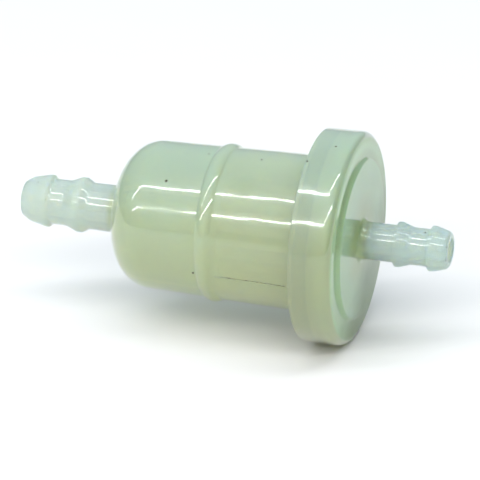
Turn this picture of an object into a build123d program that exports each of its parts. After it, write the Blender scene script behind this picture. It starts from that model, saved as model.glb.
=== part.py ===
"""Inline fuel filter for a small engine: a moulded housing and cap around a pleated paper element.

Millimetres. The filter's axis is X and fuel flows towards +X. The origin is on the axis, midway
between the two barb tips. Outlines are drawn in the XY plane, X along the axis and Y the radius.
"""
import math
import os

from build123d import *

# Overall
LENGTH = 75.6
TIP = LENGTH / 2

# Housing: dome, tapered barrel, bead and the flange that the cap is welded to
WALL = 1.6
DOME_FOOT_X = -20.46
DOME_END_X = -13.68
DOME_FOOT_R = 4.34
BARREL_R_DOME = 12.74
BARREL_R_CAP = 13.41
BEAD_X = -2.0
BEAD_HALF_WIDTH = 1.37
BEAD_HEIGHT = 0.56
FLANGE_X = 15.2
FLANGE_R = 16.75
FLANGE_ROOT_FILLET = 0.4
TONGUE_R = 13.85
TONGUE_END_X = 19.3
RIB_COUNT = 4
RIB_THICKNESS = 1.0
RIB_START_X = -17.0
RIB_INNER_R = 8.6
RIB_LEDGE = 1.4

# Cap: skirt over the flange, face with a raised disc, and the spigot that holds the element
SKIRT_X = 14.55
SKIRT_R_OPEN = 18.16
SKIRT_R_FACE = 18.31
SKIRT_BORE_R = 16.9
WELD_X = 17.4
TONGUE_BORE_R = 14.0
FACE_INSIDE_X = 19.8
FACE_X = 21.81
FACE_CORNER_FILLET = 1.54
DISC_R = 13.6
DISC_X = 22.4
STEM_FILLET = 1.0
SPIGOT_X = 16.0
SPIGOT_R = 3.5
SEAL_X = 18.1
SEAL_GROOVE_R = 3.0
SEAL_GROOVE_WIDTH = 1.4

# Hose barbs: 5/16 in hose at the inlet, 1/4 in hose at the outlet
CREST_LAND = 0.5
INLET_BORE_R = 2.6
INLET_STEM_R = 3.95
INLET_STEM_R_DOME = 4.14
INLET_NOSE_R = 3.05
INLET_TIP_CREST_R = 4.53
INLET_MID_CREST_R = 4.76
OUTLET_BORE_R = 2.05
OUTLET_STEM_R = 3.23
OUTLET_CREST_R = 3.88
OUTLET_RIDGES_X = (28.59, 34.47)
OUTLET_CONE_LENGTH = 2.5
OUTLET_NOSE_R = 3.15
OUTLET_NOSE_FILLET = 1.0

# Element: pleated paper on a windowed core, potted into two end caps
ELEMENT_X = -2.8
ELEMENT_END_X = 18.2
END_CAP_R = 10.0
END_DISC = 1.2
RIM_WALL = 0.6
RIM_HEIGHT = 1.4
POT_DEPTH = 1.1
POT_UNDER_PAPER = 0.4
CORE_R = 5.0
CORE_BORE_R = 4.2
CORE_BOSS_R = 4.1
CORE_BOSS_HEIGHT = 1.0
WINDOW_ROWS = 5
WINDOW_LENGTH = 2.2
WINDOW_WIDTH = 3.4
WINDOW_PITCH = 3.1
COLLAR_BORE_R = 4.05
COLLAR_R = 5.6
COLLAR_LENGTH = 1.0
PLEATS = 24
PAPER = 0.38
OUTER_FOLD_CENTRE_R = 8.5
OUTER_FOLD_R = 0.5
INNER_FOLD_CENTRE_R = 5.75
INNER_FOLD_R = 0.36
SEAM_ANGLE = 206.6
SEAM_CLIP = 0.25
SEAM_INNER_R = 7.2

PLEAT_PITCH = 360 / PLEATS
CLOSED_FLOOR_X = ELEMENT_X + END_DISC
OPEN_FLOOR_X = ELEMENT_END_X - END_DISC
PAPER_START_X = CLOSED_FLOOR_X + POT_UNDER_PAPER
PAPER_END_X = OPEN_FLOOR_X - POT_UNDER_PAPER
CUP_R = END_CAP_R - RIM_WALL


def turned(*edges):
    """Revolve a closed outline about the filter's axis."""
    return revolve(make_face(edges), axis=Axis.X)


def ring(x0, x1, r_in, r_out):
    """A plain ring, or a disc where r_in is 0."""
    return turned(Polyline((x0, r_in), (x1, r_in), (x1, r_out), (x0, r_out), close=True))


def rounded(*corners):
    """An open run of straight lines through (x, radius, fillet) corners; the two ends have no fillet."""
    points = [(x, r) for x, r, *_ in corners]
    fillets = [fillet for _, _, fillet in corners[1:-1]]
    return FilletPolyline(*points, radius=fillets)


def across_axis(section, x0, x1):
    """Extrude a section drawn with its own X and Y as the model's Y and Z, from x0 to x1."""
    return Plane.YZ.offset(x0) * extrude(section, amount=x1 - x0)


def barrel_r(x):
    """The barrel's outside radius, which grows towards the cap by the mould's draft."""
    share = (x - DOME_END_X) / (SKIRT_X - DOME_END_X)
    return BARREL_R_DOME + share * (BARREL_R_CAP - BARREL_R_DOME)


def quarter_dome(centre_r, length, height):
    """Quarter ellipse from the barrel's end at the top down to the dome's foot."""
    return EllipticalCenterArc((DOME_END_X, centre_r), length, height, 90, arc_size=90)


def inlet_barb_outline():
    """Two ridges, a domed nose, and the stem that runs into the dome."""
    return rounded(
        (-TIP, INLET_BORE_R, 0),
        (-TIP, INLET_NOSE_R, 0.35),
        (-36.5, 3.85, 1.5),
        (-33.66, INLET_TIP_CREST_R, 0.15),
        (-33.15, INLET_TIP_CREST_R, 0.15),
        (-32.5, INLET_STEM_R, 0.3),
        (-29.87, INLET_STEM_R, 1.5),
        (-27.9, INLET_MID_CREST_R, 0.8),
        (-27.0, INLET_MID_CREST_R, 0.8),
        (-25.8, INLET_STEM_R + 0.1, 0.8),
        (DOME_FOOT_X, INLET_STEM_R_DOME, 0.15),
        (DOME_FOOT_X, DOME_FOOT_R, 0),
    )


def barrel_outline():
    """From the dome's end, over the bead and the flange, to the tongue's end."""
    bead_start = BEAD_X - BEAD_HALF_WIDTH
    bead_end = BEAD_X + BEAD_HALF_WIDTH
    return [
        Line((DOME_END_X, BARREL_R_DOME), (bead_start, barrel_r(bead_start))),
        ThreePointArc(
            (bead_start, barrel_r(bead_start)),
            (BEAD_X, barrel_r(BEAD_X) + BEAD_HEIGHT),
            (bead_end, barrel_r(bead_end)),
        ),
        rounded(
            (bead_end, barrel_r(bead_end), 0),
            (FLANGE_X, barrel_r(FLANGE_X), FLANGE_ROOT_FILLET),
            (FLANGE_X, FLANGE_R, 0.3),
            (WELD_X, FLANGE_R, 0.2),
            (WELD_X, TONGUE_R, 0),
            (TONGUE_END_X, TONGUE_R, 0.3),
            (TONGUE_END_X, barrel_r(TONGUE_END_X) - WALL, 0),
        ),
    ]


def housing_cavity_outline():
    """From the tongue's end back along the inside of the barrel and dome to the bore."""
    inner_dome_length = DOME_END_X - DOME_FOOT_X - WALL
    inner_foot_r = INLET_BORE_R + 0.6
    inner_foot_x = DOME_END_X - inner_dome_length
    inner_end_r = BARREL_R_DOME - WALL
    return [
        Line((TONGUE_END_X, barrel_r(TONGUE_END_X) - WALL), (DOME_END_X, inner_end_r)),
        quarter_dome(inner_foot_r, inner_dome_length, inner_end_r - inner_foot_r),
        Polyline(
            (inner_foot_x, inner_foot_r),
            (inner_foot_x - 0.6, INLET_BORE_R),
            (-TIP, INLET_BORE_R),
        ),
    ]


def centring_rib():
    """An L-shaped rib: its foot stops the element's end cap and its toe centres the cap's rim."""
    outline = Polyline(
        (RIB_START_X, RIB_INNER_R),
        (ELEMENT_X, RIB_INNER_R),
        (ELEMENT_X, END_CAP_R + 0.1),
        (ELEMENT_X + RIB_LEDGE, END_CAP_R + 0.1),
        (ELEMENT_X + RIB_LEDGE, barrel_r(ELEMENT_X) - WALL / 2),
        (DOME_END_X, BARREL_R_DOME - WALL / 2),
        (RIB_START_X, 10.5),
        close=True,
    )
    return extrude(make_face(outline), amount=RIB_THICKNESS / 2, both=True)


def inlet_housing():
    dome = quarter_dome(DOME_FOOT_R, DOME_END_X - DOME_FOOT_X, BARREL_R_DOME - DOME_FOOT_R)
    shell = turned(inlet_barb_outline(), dome, *barrel_outline(), *housing_cavity_outline())
    for index in range(RIB_COUNT):
        shell += Rot(X=(index + 0.5) * 360 / RIB_COUNT) * centring_rib()
    return shell


def outlet_barb_outline():
    """From the cap's face along the stem and its two ridges to the tip and into the bore."""
    corners = [(FACE_X, DISC_R + 0.45, 0), (DISC_X, DISC_R, 0.3), (DISC_X, OUTLET_STEM_R, STEM_FILLET)]
    for step_x in OUTLET_RIDGES_X:
        if step_x == OUTLET_RIDGES_X[-1]:
            cone_end = (TIP, OUTLET_NOSE_R, OUTLET_NOSE_FILLET)
        else:
            cone_end = (step_x + OUTLET_CONE_LENGTH, OUTLET_STEM_R, 0.6)
        corners += [
            (step_x - 0.06, OUTLET_STEM_R, 0.15),
            (step_x, OUTLET_CREST_R, 0.08),
            (step_x + CREST_LAND + 0.1, OUTLET_CREST_R, 0.2),
            cone_end,
        ]
    corners.append((TIP, OUTLET_BORE_R, 0))
    return rounded(*corners)


def outlet_cap():
    skirt = rounded(
        (FACE_X, DISC_R + 0.45, 0),
        (FACE_X, SKIRT_R_FACE, FACE_CORNER_FILLET),
        (SKIRT_X, SKIRT_R_OPEN, 0.2),
        (SKIRT_X, SKIRT_BORE_R, 0.15),
        (WELD_X, SKIRT_BORE_R, 0.1),
        (WELD_X, TONGUE_BORE_R, 0.2),
        (FACE_INSIDE_X, TONGUE_BORE_R, 0.3),
        (FACE_INSIDE_X, SPIGOT_R, 0.3),
        (SEAL_X + SEAL_GROOVE_WIDTH / 2, SPIGOT_R, 0),
    )
    spigot = rounded(
        (SEAL_X + SEAL_GROOVE_WIDTH / 2, SPIGOT_R, 0),
        (SEAL_X + SEAL_GROOVE_WIDTH / 2, SEAL_GROOVE_R, 0),
        (SEAL_X - SEAL_GROOVE_WIDTH / 2, SEAL_GROOVE_R, 0),
        (SEAL_X - SEAL_GROOVE_WIDTH / 2, SPIGOT_R, 0),
        (SPIGOT_X, SPIGOT_R, 0.4),
        (SPIGOT_X, OUTLET_BORE_R, 0),
    )
    bore = Line((SPIGOT_X, OUTLET_BORE_R), (TIP, OUTLET_BORE_R))
    return turned(skirt, spigot, bore, outlet_barb_outline())


def spigot_seal():
    """O-ring squeezed between the spigot's groove and the open end cap's collar."""
    section_r = (COLLAR_BORE_R - SEAL_GROOVE_R) / 2
    torus = Torus(SEAL_GROOVE_R + section_r, section_r)
    return Pos(X=SEAL_X) * Rot(Y=90) * torus


def polar(radius, degrees):
    return (radius * math.cos(math.radians(degrees)), radius * math.sin(math.radians(degrees)))


def fold(centre_r, fold_r, angle, outward):
    """Start, middle and end of a half-round fold centred on a radial line."""
    cx, cy = polar(centre_r, angle)
    sx, sy = polar(fold_r, angle + 90)
    mx, my = polar(centre_r + outward * fold_r, angle)
    return (cx - sx, cy - sy), (mx, my), (cx + sx, cy + sy)


def pleat_region(shift):
    """The star-shaped area inside the pleats, to the paper's mid-line plus shift."""
    edges = []
    for index in range(PLEATS):
        angle = SEAM_ANGLE + index * PLEAT_PITCH
        ridge = fold(OUTER_FOLD_CENTRE_R, OUTER_FOLD_R + shift, angle, 1)
        valley = fold(INNER_FOLD_CENTRE_R, INNER_FOLD_R - shift, angle + PLEAT_PITCH / 2, -1)
        following = fold(OUTER_FOLD_CENTRE_R, OUTER_FOLD_R + shift, angle + PLEAT_PITCH, 1)
        edges += [
            ThreePointArc(*ridge),
            Line(ridge[2], valley[0]),
            ThreePointArc(*valley),
            Line(valley[2], following[0]),
        ]
    return make_face(edges)


def pleated_paper():
    band = pleat_region(PAPER / 2) - pleat_region(-PAPER / 2)
    return across_axis(band, PAPER_START_X, PAPER_END_X)


def side_seam():
    """The folded strip that clips the paper's two ends together over one pleat."""
    outer = OUTER_FOLD_R + PAPER / 2 + SEAM_CLIP
    tip = fold(OUTER_FOLD_CENTRE_R, outer, SEAM_ANGLE, 1)
    foot = fold(SEAM_INNER_R, outer - 0.06, SEAM_ANGLE, 1)
    edges = [
        ThreePointArc(*tip),
        Line(tip[2], foot[2]),
        Line(foot[2], foot[0]),
        Line(foot[0], tip[0]),
    ]
    clip = make_face(edges) - pleat_region(PAPER / 2)
    gap = RIM_HEIGHT + 0.1
    return across_axis(clip, CLOSED_FLOOR_X + gap, OPEN_FLOOR_X - gap)


def core_tube():
    """Moulded support tube with rows of windows that let the fuel through."""
    tube = ring(CLOSED_FLOOR_X, OPEN_FLOOR_X, CORE_BORE_R, CORE_R)
    middle = (CLOSED_FLOOR_X + OPEN_FLOOR_X) / 2
    window = Box(WINDOW_LENGTH, 3 * CORE_R, WINDOW_WIDTH)
    for row in range(WINDOW_ROWS):
        x = middle + (row - (WINDOW_ROWS - 1) / 2) * WINDOW_PITCH
        for angle in (0, 90):
            tube -= Pos(X=x) * Rot(X=angle) * window
    return tube


def closed_end_cap():
    """Solid disc with a rim around the paper and a boss inside the core tube."""
    disc = ring(ELEMENT_X, CLOSED_FLOOR_X, 0, END_CAP_R)
    rim = ring(CLOSED_FLOOR_X, CLOSED_FLOOR_X + RIM_HEIGHT, CUP_R, END_CAP_R)
    boss = ring(CLOSED_FLOOR_X, CLOSED_FLOOR_X + CORE_BOSS_HEIGHT, 0, CORE_BOSS_R)
    return disc + rim + boss


def open_end_cap():
    """Disc with a rim around the paper and a collar that seals on the cap's spigot."""
    disc = ring(OPEN_FLOOR_X, ELEMENT_END_X, COLLAR_BORE_R, END_CAP_R)
    rim = ring(OPEN_FLOOR_X - RIM_HEIGHT, OPEN_FLOOR_X, CUP_R, END_CAP_R)
    collar = ring(ELEMENT_END_X, ELEMENT_END_X + COLLAR_LENGTH, COLLAR_BORE_R, COLLAR_R)
    return disc + rim + collar


def potting(floor_x, surface_x):
    """Adhesive that fills an end cap's cup around the paper's edge."""
    low, high = sorted((floor_x, surface_x))
    return ring(low, high, CORE_R, CUP_R) - pleated_paper()


NODES = {
    "inlet_housing": inlet_housing(),
    "outlet_cap": outlet_cap(),
    "spigot_seal": spigot_seal(),
    "pleated_paper": pleated_paper(),
    "side_seam": side_seam(),
    "core_tube": core_tube(),
    "closed_end_cap": closed_end_cap(),
    "open_end_cap": open_end_cap(),
    "closed_end_potting": potting(CLOSED_FLOOR_X, CLOSED_FLOOR_X + POT_DEPTH),
    "open_end_potting": potting(OPEN_FLOOR_X, OPEN_FLOOR_X - POT_DEPTH),
}

os.makedirs("parts", exist_ok=True)
for node, shape in NODES.items():
    export_step(shape, f"parts/{node}.step")
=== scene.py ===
"""Looks for the inline fuel filter: milky translucent nylon around a pleated paper element.

Metres throughout, in the frame's own axes: fuel flows towards +X. A clock angle turns about that
axis, from 0 at the top through 90 at the front, the side that faces -Y.
"""
import math
import random

import bmesh
import bpy
from mathutils import Matrix, Vector
from mathutils.bvhtree import BVHTree


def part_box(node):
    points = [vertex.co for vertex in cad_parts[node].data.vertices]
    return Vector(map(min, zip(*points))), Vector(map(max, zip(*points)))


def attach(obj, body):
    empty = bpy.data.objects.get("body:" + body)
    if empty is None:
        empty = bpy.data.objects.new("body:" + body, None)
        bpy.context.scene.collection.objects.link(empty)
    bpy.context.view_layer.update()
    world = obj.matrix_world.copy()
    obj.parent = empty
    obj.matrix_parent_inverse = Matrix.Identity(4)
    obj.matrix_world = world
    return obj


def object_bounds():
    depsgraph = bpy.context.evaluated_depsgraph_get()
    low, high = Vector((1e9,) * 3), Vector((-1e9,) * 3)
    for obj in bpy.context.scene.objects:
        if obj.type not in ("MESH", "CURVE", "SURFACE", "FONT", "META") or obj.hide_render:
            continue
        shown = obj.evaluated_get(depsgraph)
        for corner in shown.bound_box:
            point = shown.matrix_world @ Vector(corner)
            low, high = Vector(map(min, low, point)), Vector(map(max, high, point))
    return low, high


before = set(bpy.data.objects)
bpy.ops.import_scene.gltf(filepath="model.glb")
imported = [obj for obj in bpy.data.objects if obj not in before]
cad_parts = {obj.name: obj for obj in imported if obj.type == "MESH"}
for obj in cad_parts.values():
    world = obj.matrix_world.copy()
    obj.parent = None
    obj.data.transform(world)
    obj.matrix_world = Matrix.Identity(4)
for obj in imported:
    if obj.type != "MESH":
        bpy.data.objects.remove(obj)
CAD_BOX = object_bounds()

MM = 0.001
SEED = 7

# Camera
VIEW_AZIMUTH = 17.4
VIEW_ELEVATION = 23.7
VIEW_DISTANCE = 0.765
LENS = 337.5
SENSOR = 36.0
CLIP_START = 0.05
CLIP_END = 20
AIM = Vector((0.77 * MM, 0, 0))
AIM_DROP = 2.66 * MM

# Places on the filter: its two shells' boxes, and sizes that the CAD gives them
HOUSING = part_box("inlet_housing")
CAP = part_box("outlet_cap")
CAP_R = CAP[1].z
SKIRT_X = CAP[0].x
INLET_BARB_LENGTH = 17.3 * MM
OUTLET_BARB_LENGTH = 15.4 * MM
DOME_FOOT_X = HOUSING[0].x + INLET_BARB_LENGTH
DISC_X = CAP[1].x - OUTLET_BARB_LENGTH
DISC_R = 13.6 * MM
BEAD_X = -2.0 * MM
BARREL_R = 13 * MM

# Where the shells' tints and gloss change. A pair says where one change starts and where it ends
INLET_NECK_X = (DOME_FOOT_X, DOME_FOOT_X - 2 * MM)
INLET_NOSE_X = (HOUSING[0].x + 5.3 * MM, HOUSING[0].x + 4.9 * MM)
INLET_RIDGE_X = ((HOUSING[0].x + 7.5 * MM, HOUSING[0].x + 7.9 * MM),
                 (HOUSING[0].x + 10.8 * MM, HOUSING[0].x + 11.2 * MM))
OUTLET_NECK_X = (DISC_X + 0.5 * MM, DISC_X + 2.5 * MM)
OUTLET_NOSE_X = (CAP[1].x - 4.2 * MM, CAP[1].x - 3.8 * MM)
OUTLET_RIDGE_X = ((CAP[1].x - 9.1 * MM, CAP[1].x - 8.7 * MM),
                  (CAP[1].x - 6.9 * MM, CAP[1].x - 6.5 * MM))
BARREL_X = (BEAD_X - 1 * MM, BEAD_X + 3 * MM)
BARREL_Z = (-12 * MM, 12 * MM)
BARREL_PATCHES = (0.25, 0.6)
FACE_X = ((DISC_X - 0.8 * MM, DISC_X - 0.6 * MM), (DISC_X + 0.3 * MM, DISC_X + 1.2 * MM))
STEM_ROOT_R = (4 * MM, 10 * MM)
# Painted reflection of shade, dark low at the back of the face: the reach over which it comes in,
# and how far it leans back
DARK_REFLECTION_REACH = (1 * MM, 14 * MM)
DARK_REFLECTION_LEAN = 0.8
# Where painted shade lies in the recess round the disc and at the skirt's corner, and the upper
# face heights it keeps to
RECESS_X = (DISC_X - 1.4 * MM, DISC_X - 0.8 * MM)
RECESS_R = ((DISC_R - 0.2 * MM, DISC_R + 0.4 * MM), (DISC_R + 0.8 * MM, DISC_R + 2.4 * MM))
CORNER_X = (DISC_X - 2.2 * MM, DISC_X - 1.2 * MM)
CORNER_R = ((CAP_R - 2.2 * MM, CAP_R - 1.2 * MM), (CAP_R - 0.5 * MM, CAP_R - 0.1 * MM))
UPPER_FACE_Z = (-2 * MM, 7 * MM)

# Translucent nylon: tints as linear RGB, and the heights between which lower turns into upper.
# The lower tints are painted shade, darker and yellower where less light reaches; the upper ones
# are painted light from above, and the paler neck tints are painted light that comes through the
# thin barbs
HOUSING_LIT_AND_SHADED_TINTS = {"upper": (0.76, 0.92, 0.72), "lower": (0.79, 0.87, 0.53),
                 "neck": (0.90, 1.0, 0.98)}
HOUSING_SHADE_HEIGHTS = (-5 * MM, 15 * MM)
CAP_LIT_AND_SHADED_TINTS = {"upper": (0.71, 0.86, 0.68), "lower": (0.62, 0.67, 0.40),
             "neck": (0.82, 0.96, 0.96)}
CAP_SHADE_HEIGHTS = (0, 17 * MM)
# The element's warm tone seen through the barrel; it is laid on most strongly low down, as painted
# shade
BARREL_TINT = (0.80, 0.86, 0.46)
# Painted reflection: the face's greener, brighter tint stands for the bright surroundings it
# mirrors
FACE_REFLECTION_TINT = (0.68, 0.97, 0.62)
# Painted shade: olive round the outlet stem's root, for the stem's dark mirror image in the face
STEM_MIRROR_TINT = (0.70, 0.76, 0.34)
# Painted reflection: dark green low at the back of the face, for the shaded surroundings it mirrors
PAINTED_DARK_REFLECTION_TINT = (0.25, 0.40, 0.14)
# Painted shade: the darker tint in the recess round the disc and at the skirt's corner
RECESS_SHADE_TINT = (0.34, 0.36, 0.16)
# How strongly each tint is laid on; the face, stem, low-behind, recess and corner tints are painted
# light and shade
TINT_STRENGTH = {"barrel": 0.85, "face": 0.9, "stem_mirror": 0.6, "darkening": 0.9, "recess": 0.3,
                 "corner": 0.2}
BARREL_PATCH_SHARE = 0.6
# Painted shade: the barrel's warm tone keeps only this share on the lit top
BARREL_TOP_SHARE = 0.4
FACE_DULLNESS = 0.65
BARB_DULLNESS = 0.95
CLOUD_SIZE = 7 * MM
DRIFT = 8 * MM
WAVE_SIZE = 4 * MM
WAVE_DEPTH = 0.05 * MM
NECK_WAVE_SHARE = 0.05
GLOSS_CLOUD_SIZE = 5 * MM
GLOSS_CLOUDS = (0.25, 0.5)
GLOSS = (0.7, 1.0)
NYLON_IOR = 1.53
NYLON_CLEARNESS = 0.85
NYLON_SPECULAR = 0.15
NYLON_ROUGHNESS = (0.1, 0.2)
SKIN_ROUGHNESS = 0.05
FOG_PER_METRE = (900, 1150, 1800)
ABSORPTION_PER_METRE = (15, 3, 50)

# The other materials: tints and roughness, each between two ends that a noise mixes
WITNESS_TINTS = ((0.32, 0.37, 0.20), (0.43, 0.49, 0.30))
WITNESS_ROUGHNESS = (0.2, 0.4)
PAPER_TINTS = ((0.52, 0.39, 0.13), (0.68, 0.55, 0.24))
PAPER_ROUGHNESS = (0.75, 0.95)
FIBRE_TINT = (0.82, 0.72, 0.44)
ELEMENT_TINTS = ((0.66, 0.64, 0.46), (0.78, 0.77, 0.62))
ELEMENT_ROUGHNESS = (0.28, 0.45)
POTTING_TINTS = ((0.42, 0.24, 0.06), (0.66, 0.45, 0.15))
POTTING_ROUGHNESS = (0.12, 0.3)
METAL_TINTS = ((0.72, 0.72, 0.70), (0.52, 0.47, 0.38))
METAL_ROUGHNESS = (0.25, 0.5)
RUBBER_TINTS = ((0.012, 0.012, 0.013), (0.05, 0.05, 0.048))
RUBBER_ROUGHNESS = (0.35, 0.6)
CHAR_TINTS = ((0.01, 0.012, 0.008), (0.10, 0.08, 0.03))
CHAR_ROUGHNESS = (0.5, 0.9)
FLOOR_TINTS = ((0.84, 0.84, 0.84), (0.86, 0.86, 0.86))
FLOOR_ROUGHNESS = 0.9
MID_NOISE = (0.3, 0.7)

# Parting lines: low ribs, whose section is in (half widths across, heights up)
PARTING_CLOCKS = (110.5, -69.5)
PARTING_X = (BEAD_X + 2 * MM, SKIRT_X - 0.3 * MM)
RIB_HALF_WIDTH = 0.08 * MM
RIB_HEIGHT = 0.03 * MM
RIB_STEP = 0.25 * MM
RIB_TAPER_SHARE = 0.25
RIB_SECTION = ((-1, -0.6), (-0.7, 0.5), (0, 1), (0.7, 0.5), (1, -0.6), (0, -1.5))

# Melt pressed out of the weld: a ring of round section, whose size is a sum of waves, each with
# so many lumps a turn
FLASH_X = SKIRT_X + 0.62 * MM
FLASH_RING_R = 16.72 * MM
FLASH_SECTION_R = 0.2 * MM
FLASH_THINNEST = 0.5
FLASH_LUMPS = range(3, 24)
FLASH_LUMP_SIZES = (0.03, 0.12)
FLASH_STEPS = 360
FLASH_SIDES = 10

# Marks: specks as (node, X in mm, clock, radius in mm), and smudges, where the gloss is dulled, as
# (X in mm, clock, radius in mm)
SPECKS = (
    ("inlet_housing", -9.7, 39, 0.24), ("inlet_housing", -4.3, 6, 0.12),
    ("inlet_housing", 5.1, 7, 0.16), ("inlet_housing", -2.0, 62, 0.12),
    ("inlet_housing", -3.7, 110, 0.18), ("inlet_housing", -35.0, 22, 0.09),
    ("inlet_housing", -32.9, 65, 0.08), ("outlet_cap", 14.9, 25, 0.16),
    ("outlet_cap", 18.6, 11, 0.17), ("outlet_cap", 33.6, 15, 0.15),
    ("outlet_cap", 37.7, 55, 0.12), ("outlet_cap", 37.7, 104, 0.1),
)
GRAIN_SIZES = (0.8, 1.15)
GRAIN_FLATNESS = 0.4
GRIME_X = (1.2 * MM, 12.6 * MM)
GRIME_CLOCK = PARTING_CLOCKS[0] - 0.6
GRIME_RADII = (0.04, 0.11)
GRIME_GAPS = (0.2, 0.75)
GRIME_STRETCH = 2.5
SMUDGES = ((3.9, 36, 2.2), (-7.6, 62, 2.0), (-11.2, 62, 2.0))
SMUDGE_EDGE = 1.6
SMUDGE_RAGGED = 1.5 * MM
SMUDGE_GLOSS = 0.08

# Floor
FLOOR_SIZE = 8
FLOOR_GAP = 0.1 * MM
FLOOR_MOTTLE_SIZE = 20 * MM

# Light: soft lobes as (way it comes from, colour), one overhead and four 30 degrees above level,
# and two strips as ways to them
LIGHT_LOBES = (
    ((0, 0, 1), (0.57, 0.60, 0.70)),
    ((0, 1.73, 1), (0.72, 0.86, 0.88)),
    ((0, -1.73, 1), (1.16, 1.10, 1.02)),
    ((-1.73, 0, 1), (0.46, 0.53, 0.58)),
    ((1.73, 0, 1), (0.08, 0.08, 0.09)),
)
LOBE_POWER = 3
STRIPS = {"strip_high": (-0.307, -0.402, 1), "strip_low": (-0.51, -1.487, 1)}
STRIP_HEADING = 30
STRIP_DISTANCE = 0.7
STRIP_LENGTH = 1.4
STRIP_WIDTH = 0.026
STRIP_RADIANCE = 20
VOLUME_BOUNCES = 64
SURFACE_BOUNCES = 16
TRANSMISSION_BOUNCES = 24


def direction(azimuth, elevation):
    """Unit vector from the object towards a viewer at that azimuth and elevation."""
    a, e = math.radians(azimuth), math.radians(elevation)
    return Vector((math.sin(a) * math.cos(e), -math.cos(a) * math.cos(e), math.sin(e)))


def outward(clock):
    """Unit vector from the axis at that clock angle."""
    return Vector((0, -math.sin(math.radians(clock)), math.cos(math.radians(clock))))


# ---------------------------------------------------------------- shader building blocks

def add(tree, kind, settings=None, **inputs):
    """Add a shader node, with its settings and its inputs: a value is set, a socket is linked."""
    node = tree.nodes.new("ShaderNode" + kind)
    for key, value in (settings or {}).items():
        setattr(node, key, value)
    for key, value in inputs.items():
        socket = node.inputs[key.replace("_", " ")]
        if isinstance(value, bpy.types.NodeSocket):
            tree.links.new(value, socket)
        else:
            socket.default_value = value
    return node


def principled(name):
    """A new material, its tree and its Principled shader."""
    material = bpy.data.materials.new(name)
    material.use_nodes = True
    tree = material.node_tree
    return material, tree, tree.nodes["Principled BSDF"]


def place_of(tree):
    """Where the shaded point is on the filter, in metres."""
    return add(tree, "TexCoord").outputs["Object"]


def noise(tree, place, size, detail=3.0, roughness=0.5, stretch=(1, 1, 1)):
    """Cloudy variation from 0 to 1 whose lumps are about that size."""
    scaled = add(tree, "Mapping", Vector=place, Scale=stretch).outputs["Vector"]
    made = add(tree, "TexNoise", Vector=scaled, Scale=1 / size, Detail=detail, Roughness=roughness)
    return made.outputs["Fac"]


def spread(tree, value, low, high, to_low=0.0, to_high=1.0):
    """Map low..high smoothly to to_low..to_high, and hold it there outside."""
    node = add(tree, "MapRange", {"interpolation_type": "SMOOTHSTEP"}, Value=value)
    limits = {"From Min": low, "From Max": high, "To Min": to_low, "To Max": to_high}
    for name, number in limits.items():
        node.inputs[name].default_value = number
    return node.outputs["Result"]


def mix(tree, factor, first, second):
    """Blend two colours, each a socket or a plain RGB triple."""
    node = add(tree, "Mix", {"data_type": "RGBA"}, Factor=factor)
    for index, colour in ((6, first), (7, second)):
        if isinstance(colour, bpy.types.NodeSocket):
            tree.links.new(colour, node.inputs[index])
        else:
            node.inputs[index].default_value = (*colour, 1)
    return node.outputs[2]


def maths(tree, operation, first, second):
    """One arithmetic step between two values, each a socket or a plain number."""
    node = add(tree, "Math", {"operation": operation})
    for index, value in enumerate((first, second)):
        if isinstance(value, bpy.types.NodeSocket):
            tree.links.new(value, node.inputs[index])
        else:
            node.inputs[index].default_value = value
    return node.outputs[0]


def times(tree, first, *others):
    """The product of several values."""
    for other in others:
        first = maths(tree, "MULTIPLY", first, other)
    return first


def band(tree, value, rise, fall):
    """1 between two pairs of limits and 0 outside them, with a smooth edge across each pair."""
    return times(tree, spread(tree, value, *rise), spread(tree, value, *fall, 1.0, 0.0))


def from_axis(tree, place):
    """Distance from the filter's axis."""
    flat = add(tree, "VectorMath", {"operation": "MULTIPLY"}, Vector=place)
    flat.inputs[1].default_value = (0, 1, 1)
    return add(tree, "VectorMath", {"operation": "LENGTH"}, Vector=flat.outputs[0]).outputs["Value"]


def bump(tree, height, depth):
    """A bump of that depth, in metres, from a height of 0 to 1."""
    return add(tree, "Bump", Height=height, Distance=depth).outputs["Normal"]


def wire(tree, shader, **inputs):
    """Set or link a shader's inputs."""
    for key, value in inputs.items():
        socket = shader.inputs[key.replace("_", " ")]
        if isinstance(value, bpy.types.NodeSocket):
            tree.links.new(value, socket)
        else:
            socket.default_value = value


# ---------------------------------------------------------------- materials

def milky_inside(tree, scatter, absorb):
    """Fill the solid with fog, whose scatter and absorption are per metre in each colour."""
    most = max(scatter)
    fog = add(tree, "VolumeScatter", Color=(*[s / most for s in scatter], 1), Density=most)
    most = max(absorb)
    tint = add(tree, "VolumeAbsorption", Color=(*[1 - a / most for a in absorb], 1), Density=most)
    both = add(tree, "AddShader")
    tree.links.new(fog.outputs[0], both.inputs[0])
    tree.links.new(tint.outputs[0], both.inputs[1])
    tree.links.new(both.outputs[0], tree.nodes["Material Output"].inputs["Volume"])


def gloss_map(tree, place):
    """How glossy the skin is: cloudy, and dull at the smudges."""
    clouds = noise(tree, place, GLOSS_CLOUD_SIZE, detail=2.0)
    gloss = spread(tree, clouds, *GLOSS_CLOUDS, *GLOSS)
    ragged = times(tree, noise(tree, place, 1.5 * MM, detail=4.0), SMUDGE_RAGGED)
    for x, clock, radius in SMUDGES:
        centre = Vector((x * MM, 0, 0)) + outward(clock) * BARREL_R
        away = add(tree, "VectorMath", {"operation": "DISTANCE"}, Vector=place)
        away.inputs[1].default_value = centre
        reach = maths(tree, "ADD", away.outputs["Value"], ragged)
        edge = (radius * MM, (radius + SMUDGE_EDGE) * MM)
        gloss = times(tree, gloss, spread(tree, reach, *edge, SMUDGE_GLOSS, 1.0))
    return gloss


def drift_of(tree, cloud):
    """How far a tint's edge wanders from its place, in metres."""
    return times(tree, maths(tree, "SUBTRACT", cloud, 0.5), DRIFT)


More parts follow.
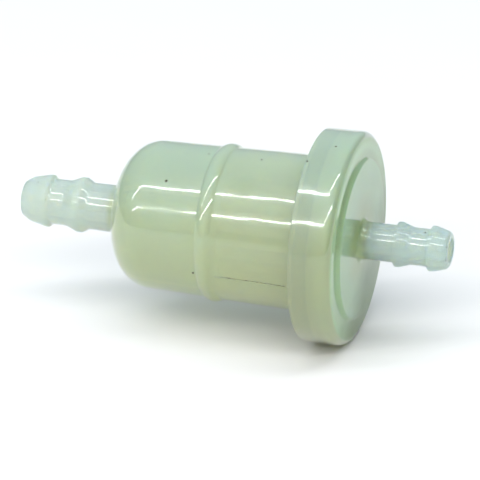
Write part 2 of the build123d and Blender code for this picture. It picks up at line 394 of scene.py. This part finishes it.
def housing_detail(tree, place, cloud, wall):
    """The barrel is warmer behind the bead, round the element; laying that on most of all low down
    is painted shade.
    """
    axes = add(tree, "SeparateXYZ", Vector=place).outputs
    behind_bead = spread(tree, axes["X"], *BARREL_X, 0.0, TINT_STRENGTH["barrel"])
    patchy = spread(tree, cloud, *BARREL_PATCHES, BARREL_PATCH_SHARE, 1.0)
    # Painted shade: the tone is laid on fully low down and only partly on top, where the light
    # falls
    low = spread(tree, axes["Z"], *BARREL_Z, 1.0, BARREL_TOP_SHARE)
    return mix(tree, times(tree, behind_bead, patchy, low), wall, BARREL_TINT), 1.0


def cap_face(tree, place, cloud, wall):
    """The cap's face is greener and duller than its skirt, olive round the stem, dark low behind.

    The greener face is a painted reflection of the bright surroundings, the olive round the stem is
    painted shade for the stem's dark mirror image, and the dark green low behind is a painted
    reflection of shaded surroundings. The recess round the disc and the skirt's corner are darker
    too, on the upper half, as painted shade.
    """
    axes = add(tree, "SeparateXYZ", Vector=place).outputs
    radius = from_axis(tree, place)
    face = band(tree, axes["X"], *FACE_X)
    # Painted shade: olive round the stem's root, for the stem's dark mirror image in the glossy
    # face
    near_stem = spread(tree, radius, *STEM_ROOT_R, TINT_STRENGTH["stem_mirror"], 0.0)
    # Painted reflection: the face is tinted greener and brighter for the bright surroundings it
    # mirrors
    wall = mix(tree, times(tree, face, TINT_STRENGTH["face"]), wall, FACE_REFLECTION_TINT)
    wall = mix(tree, times(tree, face, near_stem), wall, STEM_MIRROR_TINT)

    # Painted reflection: dark green low at the back of the face, for the shaded surroundings it
    # mirrors
    low_behind = maths(tree, "SUBTRACT", times(tree, axes["Y"], DARK_REFLECTION_LEAN), axes["Z"])
    darkening = times(tree, maths(tree, "ADD", low_behind, drift_of(tree, cloud)), face)
    darkened = spread(tree, darkening, *DARK_REFLECTION_REACH, 0.0, TINT_STRENGTH["darkening"])
    wall = mix(tree, darkened, wall, PAINTED_DARK_REFLECTION_TINT)

    # Painted shade: the recess round the disc and the skirt's corner are darkened on the upper half
    deep = spread(tree, axes["X"], *RECESS_X)
    recess = times(tree, band(tree, radius, *RECESS_R), deep, TINT_STRENGTH["recess"])
    near_face = spread(tree, axes["X"], *CORNER_X, 0.0, TINT_STRENGTH["corner"])
    corner = times(tree, band(tree, radius, *CORNER_R), near_face)
    upper = spread(tree, axes["Z"], *UPPER_FACE_Z)
    wall = mix(tree, times(tree, maths(tree, "ADD", recess, corner), upper), wall, RECESS_SHADE_TINT)
    return wall, maths(tree, "SUBTRACT", 1.0, times(tree, face, FACE_DULLNESS))


def dull_barb(tree, along, in_neck, ridge_x, nose_x):
    """How dull the barb's skin is: nearly fully over its inner ridge and its nose, else not."""
    dull = maths(tree, "MAXIMUM", band(tree, along, *ridge_x), spread(tree, along, *nose_x))
    return times(tree, dull, in_neck, BARB_DULLNESS)


def nylon(name, tints, shade_heights, neck_x, ridge_x, nose_x, detail):
    """Natural nylon: a clear glossy skin over a milky inside, painted paler in the thin hose neck.

    The neck's paler tint is painted light, for the light that comes through the thin barb. The
    lower tint, painted shade, turns into the upper one, painted light, over the given heights in
    Z. Along X, the neck's own tint comes in over neck_x, and its barb is dull within ridge_x and
    past nose_x. detail adds further tints to the wall, painted light and shade among them, and
    says how much gloss is left.
    """
    material, tree, shader = principled(name)
    place = place_of(tree)
    axes = add(tree, "SeparateXYZ", Vector=place).outputs
    cloud = noise(tree, place, CLOUD_SIZE)
    height = maths(tree, "ADD", axes["Z"], drift_of(tree, cloud))
    # Painted shade and light: darker and yellower low down, lighter on top, where the light falls
    wall = mix(tree, spread(tree, height, *shade_heights), tints["lower"], tints["upper"])
    wall, polish = detail(tree, place, cloud, wall)
    in_neck = spread(tree, axes["X"], *neck_x)
    # Painted light: the thin neck is tinted paler for the light that comes through it
    colour = mix(tree, in_neck, wall, tints["neck"])
    dullness = dull_barb(tree, axes["X"], in_neck, ridge_x, nose_x)
    glossy_barb = maths(tree, "SUBTRACT", 1.0, dullness)

    swell = noise(tree, place, WAVE_SIZE, detail=2.0, stretch=(0.6, 1, 1))
    calm = spread(tree, in_neck, 0, 1, 1.0, NECK_WAVE_SHARE)
    waves = bump(tree, times(tree, swell, calm), WAVE_DEPTH)
    wire(tree, shader, Base_Color=colour, Normal=waves, IOR=NYLON_IOR,
         Roughness=spread(tree, cloud, *MID_NOISE, *NYLON_ROUGHNESS),
         Specular_IOR_Level=NYLON_SPECULAR, Transmission_Weight=NYLON_CLEARNESS,
         Coat_Weight=times(tree, gloss_map(tree, place), polish, glossy_barb),
         Coat_Roughness=SKIN_ROUGHNESS, Coat_Normal=waves)
    milky_inside(tree, FOG_PER_METRE, ABSORPTION_PER_METRE)
    return material


def mottled(tree, pattern, tints, roughness):
    """Shader inputs for a tint and a roughness that both follow a noise."""
    return {"Base_Color": mix(tree, spread(tree, pattern, *MID_NOISE), *tints),
            "Roughness": spread(tree, pattern, *MID_NOISE, *roughness)}


def opaque_nylon():
    """The same nylon where it is a thin raised witness or squeezed melt: waxy and nearly opaque."""
    material, tree, shader = principled("witness_nylon")
    cloud = noise(tree, place_of(tree), 1.0 * MM, detail=4.0)
    wire(tree, shader, **mottled(tree, cloud, WITNESS_TINTS, WITNESS_ROUGHNESS),
         Normal=bump(tree, cloud, depth=0.02 * MM), Subsurface_Weight=1.0,
         Subsurface_Radius=(1, 0.8, 0.4), Subsurface_Scale=0.5 * MM)
    return material


def filter_paper():
    """Resin-soaked filter paper: felted fibres, blotched where the resin is thicker."""
    material, tree, shader = principled("filter_paper")
    place = place_of(tree)
    blotch = spread(tree, noise(tree, place, 2.5 * MM, detail=4.0), 0.35, 0.65)
    fibre = noise(tree, place, 0.12 * MM, detail=6.0, roughness=0.7, stretch=(0.35, 1, 1))
    colour = mix(tree, spread(tree, fibre, 0.45, 0.75), mix(tree, blotch, *PAPER_TINTS), FIBRE_TINT)
    wire(tree, shader, Base_Color=colour, Normal=bump(tree, fibre, depth=0.04 * MM),
         Roughness=spread(tree, fibre, *MID_NOISE, *PAPER_ROUGHNESS), Subsurface_Weight=0.3,
         Subsurface_Radius=(1, 0.7, 0.3), Subsurface_Scale=0.4 * MM)
    return material


def element_plastic():
    """The element's own moulded pieces: opaque off-white plastic, faintly flow-marked."""
    material, tree, shader = principled("element_plastic")
    place = place_of(tree)
    flow = noise(tree, place, 3 * MM, detail=4.0, roughness=0.6, stretch=(0.4, 1, 1))
    fine = noise(tree, place, 0.15 * MM)
    wire(tree, shader, **mottled(tree, flow, ELEMENT_TINTS, ELEMENT_ROUGHNESS),
         Normal=bump(tree, fine, depth=0.006 * MM), Subsurface_Weight=0.4,
         Subsurface_Radius=(1, 0.9, 0.6), Subsurface_Scale=0.8 * MM)
    return material


def potting_adhesive():
    """Amber potting resin: glossy, wavy where it set, darker where it lies thick."""
    material, tree, shader = principled("potting_adhesive")
    pool = noise(tree, place_of(tree), 1.8 * MM)
    wire(tree, shader, **mottled(tree, pool, POTTING_TINTS, POTTING_ROUGHNESS),
         Normal=bump(tree, pool, depth=0.12 * MM), Subsurface_Weight=0.5,
         Subsurface_Radius=(1, 0.6, 0.2), Subsurface_Scale=0.6 * MM)
    return material


def seam_metal():
    """Metal strip on the paper's side seam: rolled along its length, lightly stained."""
    material, tree, shader = principled("seam_metal")
    place = place_of(tree)
    rolled = noise(tree, place, 0.08 * MM, stretch=(0.05, 1, 1))
    darkening = spread(tree, noise(tree, place, 1.6 * MM, detail=4.0), 0.45, 0.7)
    wire(tree, shader, Base_Color=mix(tree, darkening, *METAL_TINTS), Metallic=1.0,
         Roughness=spread(tree, darkening, 0, 1, *METAL_ROUGHNESS),
         Normal=bump(tree, rolled, depth=0.008 * MM))
    return material


def seal_rubber():
    """The O-ring's rubber: near-black, with a fine matt skin and a little bloom."""
    material, tree, shader = principled("seal_rubber")
    place = place_of(tree)
    bloom = spread(tree, noise(tree, place, 0.8 * MM, detail=4.0), 0.5, 0.75)
    wire(tree, shader, Base_Color=mix(tree, bloom, *RUBBER_TINTS),
         Roughness=spread(tree, bloom, 0, 1, *RUBBER_ROUGHNESS),
         Normal=bump(tree, noise(tree, place, 0.1 * MM), depth=0.01 * MM))
    return material


def burnt_speck():
    """Specks of charred plastic and grime: brown-black, uneven."""
    material, tree, shader = principled("burnt_speck")
    char = noise(tree, place_of(tree), 0.1 * MM, detail=4.0)
    wire(tree, shader, Base_Color=mix(tree, char, *CHAR_TINTS),
         Roughness=spread(tree, char, *MID_NOISE, *CHAR_ROUGHNESS),
         Normal=bump(tree, char, depth=0.02 * MM))
    return material


def dress(piece, material):
    """Give a piece that one material."""
    piece.data.materials.clear()
    piece.data.materials.append(material)


# ---------------------------------------------------------------- small pieces on the shells

def skin(node):
    """A search tree of a CAD node's surface."""
    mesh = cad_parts[node].data
    faces = [tuple(p.vertices) for p in mesh.polygons]
    return BVHTree.FromPolygons([v.co for v in mesh.vertices], faces)


def on_skin(tree, x, clock):
    """The outermost point of a surface at that X and clock angle, and its normal."""
    out = outward(clock)
    hit, normal, _, _ = tree.ray_cast(Vector((x, 0, 0)) + out * 2 * CAP_R, -out)
    return hit, normal


def new_piece(name, mesh, material):
    """Put a finished bmesh into the scene as a piece of the filter's one body."""
    bmesh.ops.recalc_face_normals(mesh, faces=mesh.faces)
    data = bpy.data.meshes.new(name)
    mesh.to_mesh(data)
    mesh.free()
    for face in data.polygons:
        face.use_smooth = True
    piece = bpy.data.objects.new(name, data)
    bpy.context.scene.collection.objects.link(piece)
    dress(piece, material)
    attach(piece, "root")
    return piece


def bridge(mesh, rings):
    """Join each ring of vertices to the next one with faces."""
    for first, second in zip(rings, rings[1:]):
        for k in range(len(first)):
            j = (k + 1) % len(first)
            mesh.faces.new((first[k], first[j], second[j], second[k]))


def add_rib(mesh, tree, clock, start, end):
    """A low rib, arched in section, that follows the surface along the axis at one clock angle."""
    out = outward(clock)
    side = Vector((1, 0, 0)).cross(out)
    rings = []
    count = round((end - start) / RIB_STEP)
    for i in range(count + 1):
        hit, _ = on_skin(tree, start + (end - start) * i / count, clock)
        taper = min(1.0, i / count / RIB_TAPER_SHARE, (count - i) / count / RIB_TAPER_SHARE)
        ring = []
        for across, lift in RIB_SECTION:
            offset = side * across * RIB_HALF_WIDTH + out * lift * RIB_HEIGHT * taper
            ring.append(mesh.verts.new(hit + offset))
        rings.append(ring)
    bridge(mesh, rings)
    mesh.faces.new(rings[0])
    mesh.faces.new(rings[-1])


def parting_lines(material):
    """The witness ribs that the two mould halves leave on opposite sides of the barrel."""
    mesh = bmesh.new()
    tree = skin("inlet_housing")
    for clock in PARTING_CLOCKS:
        add_rib(mesh, tree, clock, *PARTING_X)
    new_piece("housing_parting_lines", mesh, material)


def weld_flash(material):
    """The uneven bead of melt that the weld pressed out inside the skirt's rim."""
    mesh = bmesh.new()
    draw = random.Random(SEED)
    lumps = [(n, draw.uniform(0, math.tau), draw.uniform(*FLASH_LUMP_SIZES)) for n in FLASH_LUMPS]
    rings = []
    for i in range(FLASH_STEPS):
        clock = 360 * i / FLASH_STEPS
        out = outward(clock)
        swell = sum(size * math.sin(n * math.radians(clock) + phase) for n, phase, size in lumps)
        section_r = FLASH_SECTION_R * max(FLASH_THINNEST, 1 + swell)
        centre = Vector((FLASH_X, 0, 0)) + out * FLASH_RING_R
        ring = []
        for k in range(FLASH_SIDES):
            turn = math.tau * k / FLASH_SIDES
            way = Vector((1, 0, 0)) * math.cos(turn) + out * math.sin(turn)
            ring.append(mesh.verts.new(centre + way * section_r))
        rings.append(ring)
    bridge(mesh, rings + rings[:1])
    new_piece("weld_flash", mesh, material)


def add_speck(mesh, tree, x, clock, radius, stretch, draw):
    """A flattened uneven grain half sunk into the surface, stretched along the axis."""
    hit, normal = on_skin(tree, x, clock)
    side = normal.cross(Vector((1, 0, 0))).normalized()
    along = side.cross(normal)
    made = bmesh.ops.create_icosphere(mesh, subdivisions=2, radius=radius)
    for vert in made["verts"]:
        grain = vert.co * draw.uniform(*GRAIN_SIZES)
        flat = along * grain.x * stretch + side * grain.y
        vert.co = hit + flat + normal * grain.z * GRAIN_FLATNESS


def dark_specks(material):
    """Charred specks here and there, and grime along one parting line."""
    mesh = bmesh.new()
    draw = random.Random(SEED)
    trees = {node: skin(node) for node in ("inlet_housing", "outlet_cap")}
    for node, x, clock, radius in SPECKS:
        add_speck(mesh, trees[node], x * MM, clock, radius * MM, 1.0, draw)
    x, end = GRIME_X
    while x < end:
        radius = draw.uniform(*GRIME_RADII) * MM
        add_speck(mesh, trees["inlet_housing"], x, GRIME_CLOCK, radius, GRIME_STRETCH, draw)
        x += draw.uniform(*GRIME_GAPS) * MM
    new_piece("dark_specks", mesh, material)


# ---------------------------------------------------------------- camera, floor and light

def look_at(obj, target):
    """Turn a camera to face a point, with its top side up."""
    obj.rotation_mode = "QUATERNION"
    obj.rotation_quaternion = (target - obj.location).to_track_quat("-Z", "Y")


def add_camera():
    """The camera at the photograph's viewing angle."""
    data = bpy.data.cameras.new("camera")
    data.lens = LENS
    data.sensor_width = SENSOR
    data.clip_start = CLIP_START
    data.clip_end = CLIP_END
    camera = bpy.data.objects.new("camera", data)
    bpy.context.scene.collection.objects.link(camera)
    image_up = direction(VIEW_AZIMUTH, VIEW_ELEVATION + 90)
    aim = AIM - image_up * AIM_DROP
    camera.location = aim + direction(VIEW_AZIMUTH, VIEW_ELEVATION) * VIEW_DISTANCE
    look_at(camera, aim)
    bpy.context.scene.camera = camera


def add_floor():
    """A wide pale sheet just under the cap's rim."""
    place = (0, 0, CAD_BOX[0].z - FLOOR_GAP)
    bpy.ops.mesh.primitive_plane_add(size=FLOOR_SIZE, location=place)
    floor = bpy.context.object
    floor.name = "floor"
    material, tree, shader = principled("floor")
    mottle = noise(tree, place_of(tree), FLOOR_MOTTLE_SIZE)
    wire(tree, shader, Base_Color=mix(tree, mottle, *FLOOR_TINTS), Roughness=FLOOR_ROUGHNESS)
    dress(floor, material)


def add_surround():
    """Soft light from all round: the sum of wide lobes, each strongest from its own way."""
    world = bpy.data.worlds.new("surround")
    world.use_nodes = True
    tree = world.node_tree
    towards = add(tree, "TexCoord").outputs["Generated"]
    total = None
    for way, colour in LIGHT_LOBES:
        facing = add(tree, "VectorMath", {"operation": "DOT_PRODUCT"}, Vector=towards)
        facing.inputs[1].default_value = Vector(way).normalized()
        level = maths(tree, "POWER", maths(tree, "MAXIMUM", facing.outputs["Value"], 0), LOBE_POWER)
        lobe = add(tree, "VectorMath", {"operation": "SCALE"}, Vector=colour, Scale=level)
        if total is None:
            total = lobe.outputs[0]
        else:
            summed = add(tree, "VectorMath", {"operation": "ADD"}, Vector=total)
            tree.links.new(lobe.outputs[0], summed.inputs[1])
            total = summed.outputs[0]
    tree.links.new(total, tree.nodes["Background"].inputs["Color"])
    bpy.context.scene.world = world


def strip_light(name, towards):
    """A long thin light in that direction from the object, lying level along its heading."""
    back = Vector(towards).normalized()
    heading = math.radians(STRIP_HEADING)
    along = Vector((math.cos(heading), math.sin(heading), 0))
    across = back.cross(along).normalized()
    facing = along.cross(across).normalized()
    data = bpy.data.lights.new(name, "AREA")
    data.shape = "RECTANGLE"
    data.size = STRIP_LENGTH
    data.size_y = STRIP_WIDTH
    data.energy = STRIP_RADIANCE * math.pi * STRIP_LENGTH * STRIP_WIDTH
    light = bpy.data.objects.new(name, data)
    light.location = back * STRIP_DISTANCE
    light.rotation_mode = "QUATERNION"
    light.rotation_quaternion = Matrix((along, across, facing)).transposed().to_quaternion()
    bpy.context.scene.collection.objects.link(light)


def let_light_through():
    """Let light bounce often enough to come out of the milky plastic again."""
    cycles = bpy.context.scene.cycles
    cycles.volume_bounces = VOLUME_BOUNCES
    cycles.max_bounces = VOLUME_BOUNCES + SURFACE_BOUNCES
    cycles.transmission_bounces = TRANSMISSION_BOUNCES


# ---------------------------------------------------------------- the scene

add_camera()

WITNESS_NYLON = opaque_nylon()
ELEMENT_PLASTIC = element_plastic()
MATERIALS = {
    "inlet_housing": nylon("housing_nylon", HOUSING_LIT_AND_SHADED_TINTS, HOUSING_SHADE_HEIGHTS, INLET_NECK_X,
                           INLET_RIDGE_X, INLET_NOSE_X, housing_detail),
    "outlet_cap": nylon("cap_nylon", CAP_LIT_AND_SHADED_TINTS, CAP_SHADE_HEIGHTS, OUTLET_NECK_X, OUTLET_RIDGE_X,
                        OUTLET_NOSE_X, cap_face),
    "pleated_paper": filter_paper(),
    "side_seam": seam_metal(),
    "spigot_seal": seal_rubber(),
}
POTTING = potting_adhesive()
for name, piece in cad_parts.items():
    fallback = POTTING if "potting" in name else ELEMENT_PLASTIC
    dress(piece, MATERIALS.get(name, fallback))

parting_lines(WITNESS_NYLON)
weld_flash(WITNESS_NYLON)
dark_specks(burnt_speck())

add_floor()
add_surround()
for name, towards in STRIPS.items():
    strip_light(name, towards)
let_light_through()
bpy.context.scene.view_settings.view_transform = "Standard"
